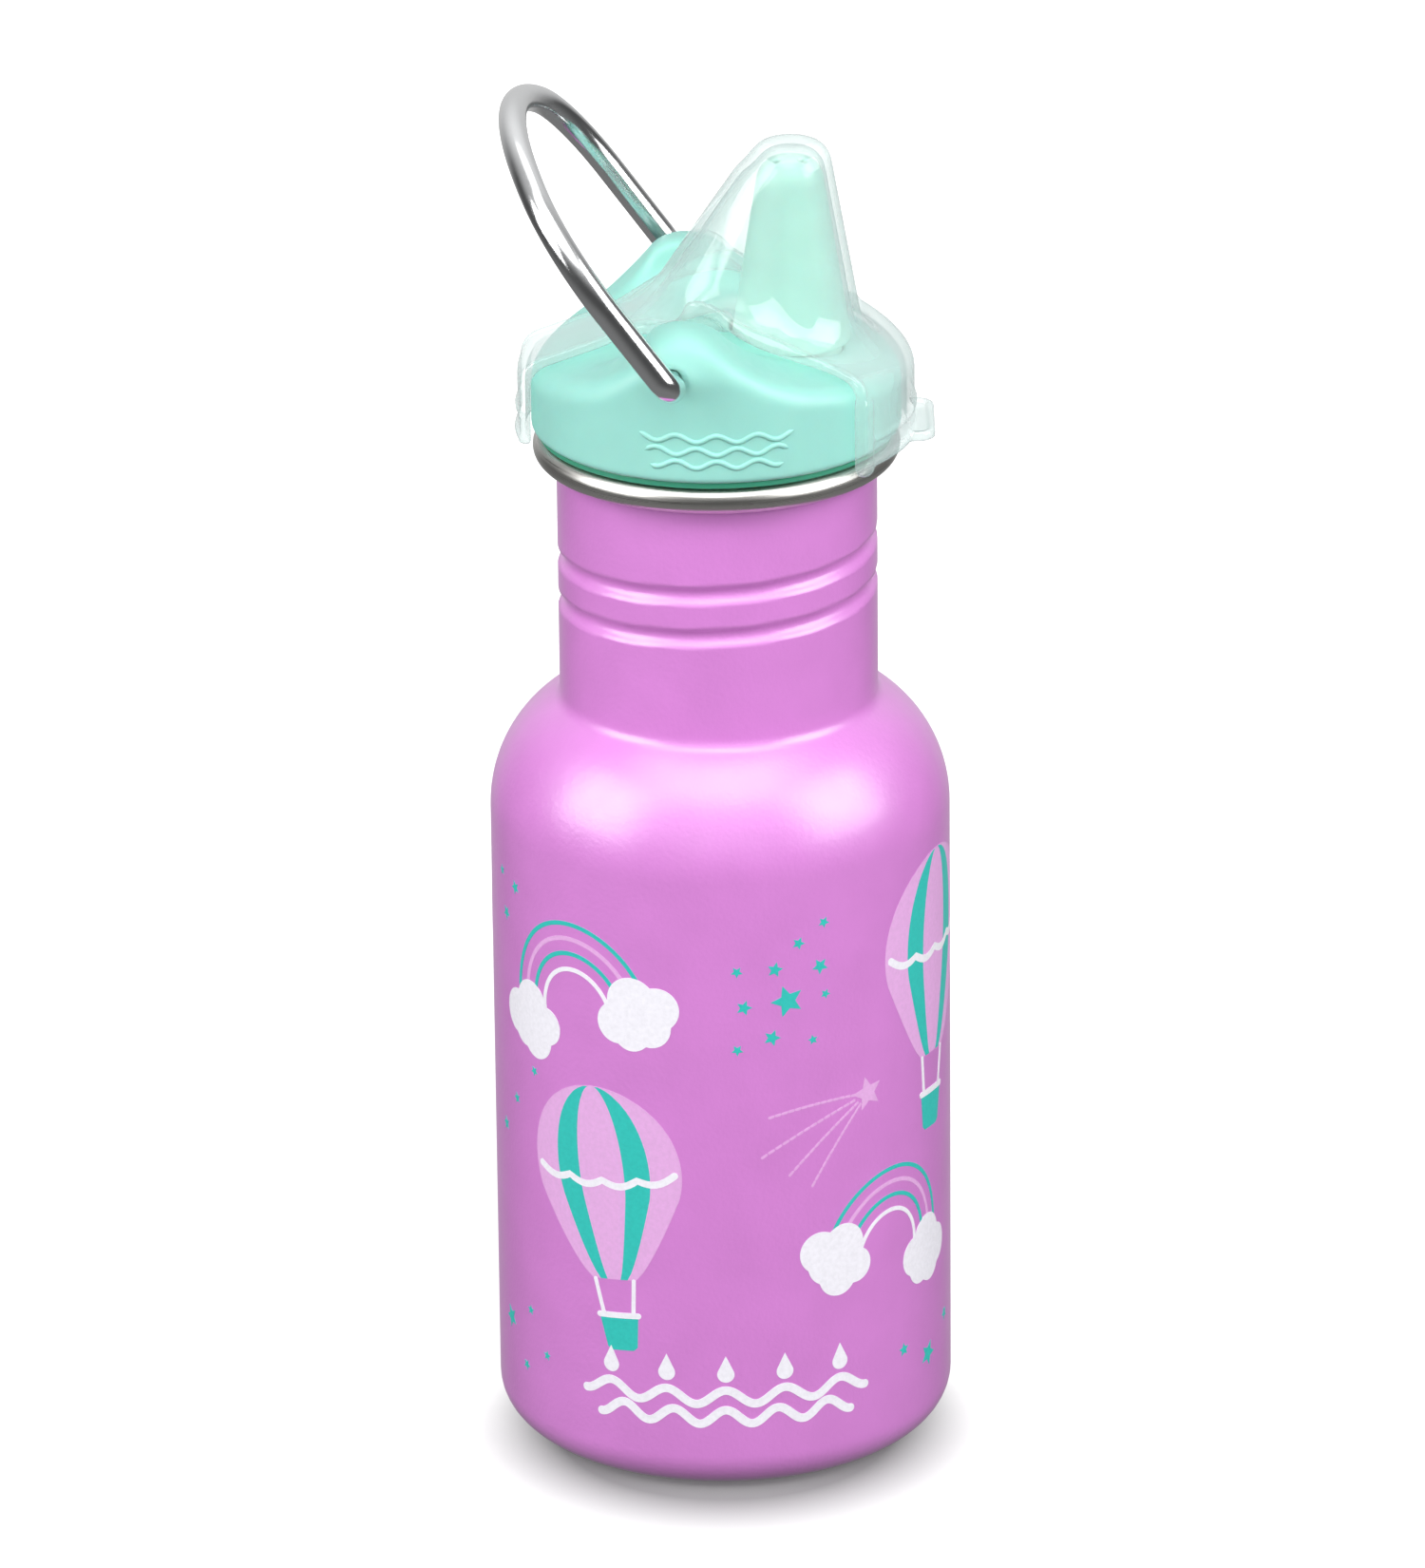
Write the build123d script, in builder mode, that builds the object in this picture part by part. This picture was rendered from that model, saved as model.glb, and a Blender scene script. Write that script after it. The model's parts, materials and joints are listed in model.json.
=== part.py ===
from build123d import *
from math import acos, cos, degrees, radians, sin, sqrt
import os

os.makedirs("parts", exist_ok=True)

# Kids water bottle: single-wall steel bottle, screw-in sippy cap, ring handle and dust cover.
# Millimetres.  Z is the bottle's axis, Z = 0 is the resting plane, and +X is the spout's side.

# --- Bottle shell ---------------------------------------------------------------------------
body_radius = 33.0        # outside of the straight wall
body_top = 94.5           # where the straight wall turns into the shoulder
base_corner = 6.0         # outside radius of the bottom edge
shoulder_reach = 17.7     # radial half-axis of the elliptical shoulder
shoulder_rise = 18.75     # vertical half-axis of the elliptical shoulder
shoulder_blend = 1.8      # hollow blend between shoulder and neck
neck_radius = 22.75       # outside of the neck
wall = 0.6                # steel sheet
lip_radius = 1.95         # outside radius of the rolled lip's section
neck_rise = 54.8          # top of the straight wall to the centre of the rolled lip
lip_height = body_top + neck_rise
neck_inner = neck_radius - wall
lip_centre = neck_inner + lip_radius
lip_top = lip_height + lip_radius
lip_gap_angle = 60        # opening of the curl, between its edge and the neck

# --- Formed neck thread ---------------------------------------------------------------------
thread_pitch = 6.35
thread_drop = 24.4        # centre of the rolled lip to the groove's lower end
thread_start = lip_height - thread_drop
thread_turns = 2.0
thread_lead_in = 90       # direction, in degrees from +X, of the groove's lower end
groove_radius = 1.3
groove_depth = 0.9
groove_end_wall = 4.0     # degrees of ridge left beyond each end of the groove
ridge_coil = neck_radius + groove_radius - groove_depth

# --- Base plate -----------------------------------------------------------------------------
weld_inset = 0.4          # butt weld to the foot of the shell's corner
foot_width = 3.2          # flat ring that the bottle stands on
weld_radius = body_radius - base_corner - weld_inset
foot_inner_radius = weld_radius - foot_width
recess_height = 2.6       # underside of the raised middle
recess_cone_run = 3.6

# --- Cap ------------------------------------------------------------------------------------
cap_overhang = 0.15       # skirt beyond the rolled lip
cap_radius = lip_centre + lip_radius + cap_overhang
cap_edge_round = 0.9
seal_thickness = 0.95
seal_gap = 0.05           # lip to seal
seal_width = 4.3
seal_fit = 0.15           # seal to plug
seal_round = 0.24
cap_under = lip_top + seal_gap + seal_thickness
plug_gap = 0.35           # plug to the ridge inside the neck
plug_wall = 2.3
plug_length = 26.8
plug_radius = neck_inner - groove_depth - plug_gap
plug_bore = plug_radius - plug_wall
plug_bottom = cap_under - plug_length
cap_thread_radius = 1.3   # section of the cap's thread
cap_thread_gap = 0.25     # thread's crest to the neck's inside
cap_thread_crest = neck_inner - cap_thread_gap
cap_thread_turns = 1.75
cap_thread_drop = 2.9     # below the neck's ridge
roof_edge = cap_under + 9.15     # height of the roof's plane at the skirt
roof_ridge = cap_under + 15.35   # height of the roof between the ears
roof_ridge_half = 4.0
roof_blend = 12.0
ear_x = -4.8              # middle of the two handle ears
ear_half_flat = 2.7
ear_top = cap_under + 22.15
ear_foot_reach = 9.6      # from the ear's middle to the foot of its slope
ear_foot_height = cap_under + 11.25
ear_foot_fall = 2.0       # from the foot of the slope to the outline's ends, at the wall
ear_root = 2.0            # how far the ear's inner face runs on below the roof's edge
ear_hollow = 5.0          # hollow blend at the slope's foot
ear_crown_round = 2.0
ear_shoulder_run = 6.4    # skirt to the outer edge of the ear's top
ear_crown_width = 3.4
ear_lean = 3.2            # from the inner edge of the ear's top in to the inner face's foot
ear_crown_outer = cap_radius - ear_shoulder_run
ear_crown_inner = ear_crown_outer - ear_crown_width
ear_foot_inner = ear_crown_inner - ear_lean
ear_shoulder_drop = 8.0   # height of the ear's rounded outer shoulder
spout_seat = cap_under + 12.35   # flat seat that the spout stands on, across the cap's top
seat_clearance = 0.4
vent_x = -9.0
vent_radius = 0.8

# --- Spout ----------------------------------------------------------------------------------
spout_base_radius = 8.4
spout_base_height = 0.9   # straight foot of the cone, on its seat
spout_tip_radius = 4.3
spout_rise = 27.0         # seat to tip
spout_top = spout_seat + spout_rise
spout_tip_round = 1.8
spout_wall = 1.7
spout_step = 1.2          # cone's foot beyond the neck that passes through the cap
spout_edge = 0.7          # neck to the plug's bore
spout_neck_radius = spout_base_radius - spout_step
spout_x = plug_bore - spout_neck_radius - spout_edge
spout_fit = 0.05          # spout to cap
flange_top = cap_under + 6.35
flange_thickness = 2.2
flange_lip = 0.7          # how far the flange reaches into the cap's groove
drink_hole_radius = 0.55
drink_hole_circle = 2.0   # radius of the ring of drink holes
drink_holes = 3
flange_vent_radius = 0.5

# --- Ring handle ----------------------------------------------------------------------------
wire_radius = 1.95
pivot_x = ear_x - 1.3
pivot_z = cap_under + 15.25
handle_tilt = 36.0        # lean from upright towards -X, at rest
handle_reach = 37.5       # pivot to the far side of the loop, on the wire's centre line
handle_clearance = 5.2    # cap's skirt to the wire's centre line
handle_half_width = cap_radius + handle_clearance
handle_corner = 19.0
handle_crown = 44.0       # radius of the loop's far side
handle_elbow = 2.8
pin_radius = 1.2
pin_fit = 0.05
pin_depth = 5.2           # how far the pin goes into the ear
wire_end_flat = 0.1       # left around the pin by the rounding of the wire's end
recess_radius = wire_radius + 0.3   # countersink around the pin's hole
recess_depth = 1.1

# --- Dust cover -----------------------------------------------------------------------------
cover_gap = 0.8           # cover to cap
cover_wall = 1.1
cover_bottom = cap_under - 0.75
skirt_outer = cap_radius + cover_gap + cover_wall
hook_half_width = 7.0
hook_run = -14.0          # how far the band keeps the hook's width
wing_x = ear_x + 3.2      # where the cover's edge has climbed onto the ears
wing_half_width = ear_crown_inner
skirt_half_angle = 44.0   # of the deep skirt behind the spout
skirt_edge_radius = cap_radius - 2.4   # where the skirt's edge meets the edge along the ears
dome_gap = 1.3            # spout's tip to the inside of the dome's
dome_top = spout_top + dome_gap + cover_wall
dome_tip_radius = spout_tip_radius + 1.05
dome_tip_round = 2.6
dome_foot = cap_under + 7.75
dome_foot_radius = spout_base_radius + 2.9
heel_radius = 16.0        # back slope that widens the dome towards the ears
heel_x = -1.4
heel_tip_radius = dome_tip_radius - 0.15
heel_tip_back = 1.4       # from the dome's axis towards the ears
heel_top_drop = 2.4       # below the dome's top
bar_width = 2.4
bar_proud = 0.7
bar_bottom = cover_bottom - 1.2
bar_top = roof_edge + 0.6
bead_height = 1.2
bead_proud = 0.45
rib_height = cover_bottom + 4.1
rib_size = 0.35
tab_reach = cap_radius + 4.7
tab_half_width = 7.5
tab_thickness = 1.5
tab_corner = 2.4

# --- Helpers for cutting and picking --------------------------------------------------------
beyond = 30.0             # reach of a cutting shape beyond what it cuts
hair = 0.01               # for telling heights apart when vertices are picked


def bottle_form(shrink, top):
    """Solid of the bottle's outline, taken in by shrink, up to a flat top."""
    radius = body_radius - shrink
    neck = neck_radius - shrink
    corner = base_corner - shrink
    half_x, half_z = shoulder_reach - shrink, shoulder_rise - shrink
    centre = body_radius - shoulder_reach
    turn = degrees(acos((neck - centre) / half_x))
    with BuildPart() as form:
        with BuildSketch(Plane.XZ) as outline:
            with BuildLine():
                Line((0, shrink), (radius - corner, shrink))
                CenterArc((radius - corner, base_corner), corner, -90, 90)
                Line((radius, base_corner), (radius, body_top))
                shoulder = EllipticalCenterArc((centre, body_top), half_x, half_z, arc_size=turn)
                Polyline(shoulder @ 1, (neck, top), (0, top), (0, shrink))
            make_face()
            hollow = outline.vertices().sort_by_distance(shoulder @ 1)[0]
            fillet(hollow, shoulder_blend + shrink)
        revolve(axis=Axis.Z)
    return form.part


def helical_rod(rod_radius, coil_radius, start_height, start_angle, turns):
    """Round rod wound upwards, right-handed, around the Z axis."""
    with BuildPart() as rod:
        with BuildLine():
            coil = Helix(thread_pitch, thread_pitch * turns, coil_radius, (0, 0, start_height))
        with BuildSketch(Plane(coil @ 0, z_dir=coil % 0)):
            Circle(rod_radius)
        sweep(path=coil, is_frenet=True)
    return rod.part.rotate(Axis.Z, start_angle)


# --- Bottle shell: drawn body, rolled lip and thread formed into the neck -----------------------
end_wall_turns = groove_end_wall / 360
thread_ridge = helical_rod(
    groove_radius + wall, ridge_coil, thread_start, thread_lead_in, thread_turns
)
thread_groove = helical_rod(
    groove_radius,
    ridge_coil,
    thread_start + thread_pitch * end_wall_turns,
    thread_lead_in + groove_end_wall,
    thread_turns - 2 * end_wall_turns,
)
outer_form = bottle_form(0, lip_height)
inner_form = bottle_form(wall, lip_height)

with BuildPart() as bottle_shell:
    add(outer_form)
    add(inner_form, mode=Mode.SUBTRACT)
    with BuildPart(mode=Mode.PRIVATE) as ridge_inside:
        add(thread_ridge)
        Cylinder(neck_radius - wall / 2, 2 * lip_height, mode=Mode.INTERSECT)
    add(ridge_inside.part)
    add(thread_groove, mode=Mode.SUBTRACT)
    with BuildSketch(Plane.XZ) as curl:
        with Locations((lip_centre, lip_height)):
            Circle(lip_radius)
            Circle(lip_radius - wall, mode=Mode.SUBTRACT)
        with BuildLine():
            Polyline(
                (lip_centre, lip_height),
                (lip_centre - beyond, lip_height),
                (lip_centre - beyond, lip_height - beyond * sin(radians(lip_gap_angle))),
                (
                    lip_centre - beyond * cos(radians(lip_gap_angle)),
                    lip_height - beyond * sin(radians(lip_gap_angle)),
                ),
                close=True,
            )
        make_face(mode=Mode.SUBTRACT)
    revolve(axis=Axis.Z)
    # The shell is open at the bottom, where the base plate is welded in.
    Cylinder(weld_radius, 2 * base_corner, mode=Mode.SUBTRACT)
bottle_shell.part.label = "bottle_shell"

# --- Base plate: stamped disc with a flat foot ring and a raised middle -------------------------
with BuildPart() as base_plate:
    with BuildSketch(Plane.XZ):
        with BuildLine():
            Polyline(
                (weld_radius, 0),
                (weld_radius, wall),
                (foot_inner_radius, wall),
                (foot_inner_radius - recess_cone_run, recess_height + wall),
                (0, recess_height + wall),
                (0, recess_height),
                (foot_inner_radius - recess_cone_run, recess_height),
                (foot_inner_radius, 0),
                close=True,
            )
        make_face()
    revolve(axis=Axis.Z)
base_plate.part.label = "base_plate"

# --- Cap seal ------------------------------------------------------------------------------------
with BuildPart() as cap_seal:
    with BuildSketch(Plane.XY.offset(lip_top + seal_gap)):
        Circle(plug_radius + seal_fit + seal_width)
        Circle(plug_radius + seal_fit, mode=Mode.SUBTRACT)
    extrude(amount=seal_thickness)
    fillet(cap_seal.edges().filter_by(GeomType.CIRCLE), seal_round)
cap_seal.part.label = "cap_seal"


# --- Cap: head with two handle ears, and a threaded plug ----------------------------------------
def head_form(grow, bottom):
    """Solid of the cap's head with every face moved outwards by grow, above a flat bottom."""
    radius = cap_radius + grow
    with BuildPart() as ear:
        with BuildSketch(Plane.XZ) as slope:
            with BuildLine():
                left, right = ear_x - ear_half_flat, ear_x + ear_half_flat
                foot_left, foot_right = ear_x - ear_foot_reach, ear_x + ear_foot_reach
                Polyline(
                    (left, ear_top),
                    (right, ear_top),
                    (foot_right, ear_foot_height),
                    (radius, ear_foot_height - ear_foot_fall),
                    (radius, cap_under - beyond),
                    (-radius, cap_under - beyond),
                    (-radius, ear_foot_height - ear_foot_fall),
                    (foot_left, ear_foot_height),
                    close=True,
                )
            make_face()
            crown = [v for v in slope.vertices() if v.Y > ear_top - hair]
            feet = [v for v in slope.vertices() if abs(v.Y - ear_foot_height) < hair]
            fillet(crown, ear_crown_round)
            fillet(feet, ear_hollow)
            offset(amount=grow)
        extrude(amount=radius, both=True)
        with BuildSketch(Plane.YZ) as section:
            with BuildLine():
                shoulder_foot = ear_top - ear_shoulder_drop
                roof_in_ear = roof_edge - ear_root
                Line((ear_crown_inner, ear_top), (ear_crown_outer, ear_top))
                EllipticalCenterArc(
                    (ear_crown_outer, shoulder_foot),
                    cap_radius - ear_crown_outer,
                    ear_shoulder_drop,
                    arc_size=90,
                )
                Polyline(
                    (cap_radius, shoulder_foot),
                    (cap_radius, cap_under - beyond),
                    (ear_foot_inner, cap_under - beyond),
                    (ear_foot_inner, roof_in_ear),
                    (ear_crown_inner, ear_top),
                )
            make_face()
            offset(amount=grow)
        extrude(amount=radius, both=True, mode=Mode.INTERSECT)
        mirror(about=Plane.XZ)
    with BuildPart() as form:
        with BuildSketch(Plane.XZ) as roof:
            with BuildLine():
                Polyline(
                    (-cap_radius, roof_edge),
                    (ear_x - roof_ridge_half, roof_ridge),
                    (ear_x + roof_ridge_half, roof_ridge),
                    (cap_radius, roof_edge),
                    (cap_radius, cap_under - beyond),
                    (-cap_radius, cap_under - beyond),
                    close=True,
                )
            make_face()
            ridge = [v for v in roof.vertices() if abs(v.Y - roof_ridge) < hair]
            fillet(ridge, roof_blend)
            offset(amount=grow)
        extrude(amount=radius, both=True)
        add(ear.part)
        with BuildSketch(Plane.XY.offset(bottom)):
            Circle(radius)
        extrude(amount=ear_top + beyond - bottom, mode=Mode.INTERSECT)
    return form.part


male_thread = helical_rod(
    cap_thread_radius,
    cap_thread_crest - cap_thread_radius,
    thread_start + thread_pitch - cap_thread_drop,
    thread_lead_in,
    cap_thread_turns,
)
snap_groove = plug_bore + flange_lip + spout_fit
flange_bottom = flange_top - flange_thickness
ear_wall_y = sqrt(cap_radius**2 - pivot_x**2)

with BuildPart() as cap_body:
    add(head_form(0, cap_under))
    fillet(cap_body.edges().group_by(Axis.Z)[0], cap_edge_round)
    with BuildSketch(Plane.XY.offset(plug_bottom)):
        Circle(plug_radius)
    extrude(amount=plug_length + cap_edge_round)
    add(male_thread)
    with BuildSketch(Plane.XZ):
        # Open underside: the plug's bore, widened where the spout's flange snaps in.
        with BuildLine():
            Polyline(
                (0, plug_bottom),
                (plug_bore, plug_bottom),
                (plug_bore, flange_bottom - spout_fit),
                (snap_groove, flange_bottom - spout_fit),
                (snap_groove, flange_top + spout_fit),
                (0, flange_top + spout_fit),
                close=True,
            )
        make_face()
    revolve(axis=Axis.Z, mode=Mode.SUBTRACT)
    with Locations((spout_x, 0, spout_seat)):
        Cylinder(
            spout_base_radius + seat_clearance,
            beyond,
            align=(Align.CENTER, Align.CENTER, Align.MIN),
            mode=Mode.SUBTRACT,
        )
        Cylinder(spout_neck_radius + spout_fit, beyond, mode=Mode.SUBTRACT)
    with Locations((vent_x, 0, roof_ridge)):
        Cylinder(vent_radius, beyond, mode=Mode.SUBTRACT)
    for side in (1, -1):
        with Locations(Plane((pivot_x, side * ear_wall_y, pivot_z), z_dir=(0, side, 0))):
            Cylinder(
                pin_radius + pin_fit,
                pin_depth + pin_fit,
                align=(Align.CENTER, Align.CENTER, Align.MAX),
                mode=Mode.SUBTRACT,
            )
            Cone(
                pin_radius,
                recess_radius,
                recess_depth,
                align=(Align.CENTER, Align.CENTER, Align.MAX),
                mode=Mode.SUBTRACT,
            )
            Cylinder(
                recess_radius,
                cap_radius,
                align=(Align.CENTER, Align.CENTER, Align.MIN),
                mode=Mode.SUBTRACT,
            )
cap_body.part.label = "cap_body"

# --- Spout: soft cone on a flange that snaps into the cap ---------------------------------------
spout_plane = Plane((spout_x, 0, 0), x_dir=(1, 0, 0), z_dir=(0, -1, 0))
channel_radius = spout_neck_radius - spout_wall

with BuildPart() as spout:
    with BuildSketch(spout_plane) as cone:
        with BuildLine():
            Polyline(
                (0, flange_bottom),
                (spout_neck_radius, flange_bottom),
                (spout_neck_radius, spout_seat),
                (spout_base_radius, spout_seat),
                (spout_base_radius, spout_seat + spout_base_height),
                (spout_tip_radius, spout_top),
                (0, spout_top),
                close=True,
            )
        make_face()
        tip = cone.vertices().sort_by_distance((spout_tip_radius, spout_top))[0]
        fillet(tip, spout_tip_round)
    revolve(axis=Axis((spout_x, 0, 0), (0, 0, 1)))
    with BuildSketch(Plane.XY.offset(flange_bottom)):
        Circle(plug_bore + flange_lip)
    extrude(amount=flange_thickness)
    with BuildSketch(spout_plane):
        with BuildLine():
            Polyline(
                (0, flange_bottom),
                (channel_radius, flange_bottom),
                (channel_radius, spout_seat + spout_base_height),
                (spout_tip_radius - spout_wall, spout_top - spout_wall),
                (0, spout_top - spout_wall),
                close=True,
            )
        make_face()
    revolve(axis=Axis((spout_x, 0, 0), (0, 0, 1)), mode=Mode.SUBTRACT)
    with Locations((spout_x, 0, spout_top)):
        with PolarLocations(drink_hole_circle, drink_holes, start_angle=90):
            Cylinder(drink_hole_radius, 2 * spout_wall + hair, mode=Mode.SUBTRACT)
    with Locations((vent_x, 0, flange_bottom)):
        Cylinder(flange_vent_radius, beyond, mode=Mode.SUBTRACT)
spout.part.label = "spout"

# --- Ring handle: bent wire whose turned-down ends pivot in the ears -----------------------------
handle_plane = Plane(
    (pivot_x, 0, pivot_z),
    x_dir=(0, 1, 0),
    z_dir=(cos(radians(handle_tilt)), 0, sin(radians(handle_tilt))),
)
corner_y = handle_half_width - handle_corner
crown_centre = handle_reach - handle_crown
corner_u = crown_centre + sqrt((handle_crown - handle_corner) ** 2 - corner_y**2)
corner_turn = degrees(acos(corner_y / (handle_crown - handle_corner)))
elbow_y = handle_half_width - handle_elbow

with BuildPart() as ring_handle:
    with BuildLine(handle_plane) as loop:
        CenterArc((-elbow_y, handle_elbow), handle_elbow, -90, -90)
        Line((-handle_half_width, handle_elbow), (-handle_half_width, corner_u))
        CenterArc((-corner_y, corner_u), handle_corner, 180, -corner_turn)
        CenterArc((0, crown_centre), handle_crown, 180 - corner_turn, 2 * corner_turn - 180)
        CenterArc((corner_y, corner_u), handle_corner, corner_turn, -corner_turn)
        Line((handle_half_width, corner_u), (handle_half_width, handle_elbow))
        CenterArc((elbow_y, handle_elbow), handle_elbow, 0, -90)
    with BuildSketch(Plane((pivot_x, -elbow_y, pivot_z), z_dir=(0, -1, 0))):
        Circle(wire_radius)
    sweep(path=loop.wires()[0])
    ends = ring_handle.faces().filter_by(GeomType.PLANE)
    fillet(ends.edges(), wire_radius - pin_radius - wire_end_flat)
    for side in (1, -1):
        with Locations(Plane((pivot_x, side * elbow_y, pivot_z), z_dir=(0, -side, 0))):
            Cylinder(
                pin_radius,
                elbow_y - ear_wall_y + pin_depth,
                align=(Align.CENTER, Align.CENTER, Align.MIN),
            )
ring_handle.part.label = "ring_handle"


# --- Dust cover: clear shell over the spout and roof, with a hook and a deep skirt ----------------
def dome_form(inset):
    """Solid of the dome and its widened back slope, taken in by inset."""
    with BuildPart() as form:
        with BuildSketch(spout_plane) as outline:
            with BuildLine():
                Polyline(
                    (0, dome_foot),
                    (dome_foot_radius - inset, dome_foot),
                    (dome_tip_radius - inset, dome_top - inset),
                    (0, dome_top - inset),
                    close=True,
                )
            make_face()
            tip = outline.vertices().sort_by_distance((dome_tip_radius, dome_top))[0]
            fillet(tip, dome_tip_round - inset)
        revolve(axis=Axis((spout_x, 0, 0), (0, 0, 1)))
        with BuildSketch(Plane.XY.offset(dome_foot)):
            with Locations((heel_x, 0)):
                Circle(heel_radius - inset)
        with BuildSketch(Plane.XY.offset(dome_top - heel_top_drop)):
            with Locations((spout_x - heel_tip_back, 0)):
                Circle(heel_tip_radius - inset)
        loft()
    return form.part


skirt_corner = radians(skirt_half_angle)
trim_reach = 2 * cap_radius
bar_turn = degrees(bar_width / 2 / skirt_outer)

with BuildPart() as dust_cover:
    add(head_form(cover_gap + cover_wall, cover_bottom))
    add(dome_form(0))
    with BuildSketch(Plane.XZ):
        # Bead along the bottom edge and a rib above it.
        with Locations((skirt_outer, cover_bottom)):
            Rectangle(2 * bead_proud, 2 * bead_height)
        with Locations((skirt_outer, rib_height)):
            Circle(rib_size)
    revolve(axis=Axis.Z)
    with BuildSketch(Plane.XY.offset(cover_bottom)) as tab:
        with Locations((tab_reach / 2, 0)):
            Rectangle(tab_reach, 2 * tab_half_width)
        fillet(tab.vertices().group_by(Axis.X)[-1], tab_corner)
    extrude(amount=tab_thickness)
    with BuildSketch(Plane.XY.offset(cover_bottom)):
        # Plan of the cover: hook band, wings up to the ears, and the skirt's two edges.
        with BuildLine() as plan:
            Line((-trim_reach, -hook_half_width), (hook_run, -hook_half_width))
            edge = Spline(
                (hook_run, -hook_half_width),
                (wing_x, -wing_half_width),
                (
                    skirt_edge_radius * cos(skirt_corner),
                    -skirt_edge_radius * sin(skirt_corner),
                ),
                tangents=((1, 0), (cos(skirt_corner), -sin(skirt_corner))),
            )
            Line(edge @ 1, (trim_reach * cos(skirt_corner), -trim_reach * sin(skirt_corner)))
            mirror(about=Plane.XZ)
            Line(
                (-trim_reach, -hook_half_width),
                (-trim_reach, hook_half_width),
            )
            Line(
                (trim_reach * cos(skirt_corner), -trim_reach * sin(skirt_corner)),
                (trim_reach * cos(skirt_corner), trim_reach * sin(skirt_corner)),
            )
        make_face()
    extrude(amount=dome_top, mode=Mode.INTERSECT)
    with Locations((0, 0, bar_bottom)):
        for side in (1, -1):
            with PolarLocations(0, 1, start_angle=side * (skirt_half_angle - bar_turn)):
                Box(
                    skirt_outer + bar_proud,
                    bar_width,
                    bar_top - bar_bottom,
                    align=(Align.MIN, Align.CENTER, Align.MIN),
                )
    with BuildSketch(Plane.XY.offset(bar_bottom)):
        Circle(cap_radius + cover_gap)
    extrude(amount=cover_bottom - bar_bottom, mode=Mode.SUBTRACT)
    add(head_form(cover_gap, bar_bottom), mode=Mode.SUBTRACT)
    add(dome_form(cover_wall), mode=Mode.SUBTRACT)
dust_cover.part.label = "dust_cover"

for piece in (bottle_shell, base_plate, cap_seal, cap_body, spout, ring_handle, dust_cover):
    export_step(piece.part, f"parts/{piece.part.label}.step")
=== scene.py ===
import json
from math import acos, cos, degrees, pi, radians, sin, sqrt, tan

import bmesh
import bpy
import numpy as np
from mathutils import Matrix, Vector


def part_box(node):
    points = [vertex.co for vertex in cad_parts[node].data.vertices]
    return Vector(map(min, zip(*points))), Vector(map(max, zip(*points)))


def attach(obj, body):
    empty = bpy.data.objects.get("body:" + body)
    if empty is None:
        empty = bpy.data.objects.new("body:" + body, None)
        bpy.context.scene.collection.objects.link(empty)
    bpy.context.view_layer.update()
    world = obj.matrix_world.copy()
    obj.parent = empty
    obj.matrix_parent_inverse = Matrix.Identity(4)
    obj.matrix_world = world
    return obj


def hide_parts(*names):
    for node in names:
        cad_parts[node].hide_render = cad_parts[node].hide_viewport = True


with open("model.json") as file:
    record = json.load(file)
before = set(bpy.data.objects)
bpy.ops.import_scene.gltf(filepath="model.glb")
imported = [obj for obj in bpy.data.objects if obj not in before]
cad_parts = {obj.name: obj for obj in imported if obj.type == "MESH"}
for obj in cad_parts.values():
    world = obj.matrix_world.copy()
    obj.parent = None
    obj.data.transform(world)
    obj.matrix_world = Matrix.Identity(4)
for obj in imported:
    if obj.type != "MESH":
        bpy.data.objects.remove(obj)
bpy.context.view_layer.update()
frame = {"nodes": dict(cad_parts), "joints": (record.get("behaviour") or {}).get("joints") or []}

# Looks of a kids water bottle.  Sizes below are in millimetres in the part's own frame:
# Z is the bottle's axis, Z = 0 is the resting plane, and +X is the spout's side.
MM = 0.001
SEGMENTS = 192                     # around the bottle


def node_box(node):
    low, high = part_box(node)
    return low / MM, high / MM


_, shell_high = node_box("bottle_shell")
cap_low, cap_high = node_box("cap_body")
spout_low, spout_high = node_box("spout")
cover_low, cover_high = node_box("dust_cover")
joints = {joint["name"]: joint for joint in frame["joints"]}

# --- Bottle -----------------------------------------------------------------------------------
BODY_R = shell_high.x
LIP_TOP = shell_high.z
SKIN = 0.06                        # the coat stays this far inside the body's radius
COAT = 0.2
WALL = 0.6
CORNER = 6.0
BODY_TOP = 94.5
SHOULDER_R, SHOULDER_Z = 17.7, 18.75
SHOULDER_BLEND = 1.3
NECK_R = 22.75
LIP_R = 1.95
COAT_TOP = LIP_TOP - 2 * LIP_R + 0.35
PITCH = 6.35
THREAD_START, THREAD_TURNS, THREAD_LEAD = 124.9, 2.0, 90.0
GROOVE_R, GROOVE_OFFSET, GROOVE_FADE = 1.3, 0.4, 25

# --- Cap --------------------------------------------------------------------------------------
CAP_R = cap_high.x
PLUG_BOTTOM = cap_low.z
EAR_TOP = cap_high.z
PLUG_R, PLUG_BORE = 20.9, 18.6
CAP_UNDER = LIP_TOP + 1.0
ROOF_EDGE, ROOF_RIDGE = 161.4, 167.6
RIDGE_LEFT, RIDGE_RIGHT = -8.8, -0.8
EAR_X, EAR_HALF, EAR_REACH, EAR_FORE_REACH, EAR_FOOT = -4.8, 2.7, 9.6, 13.0, 163.5
EAR_INNER_TOP, EAR_INNER_FOOT = 16.4, 13.2
EAR_SHOULDER_R, EAR_SHOULDER_Z = 6.4, 8.0
SPOUT_X, SPOUT_SEAT, SEAT_R = 10.7, 164.6, 8.8
VENT_X, VENT_R = -9.0, 0.8
PIVOT = [value / MM for value in joints["handle_swing"]["pos_m"]]
PIN_R, PIN_DEPTH, RECESS_R, RECESS_DEPTH = 1.2, 5.2, 2.25, 1.1
PIN_FIT = 0.05
BORE_TOP = 158.6                   # roof of the plug's bore, where the spout's flange snaps in
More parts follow.
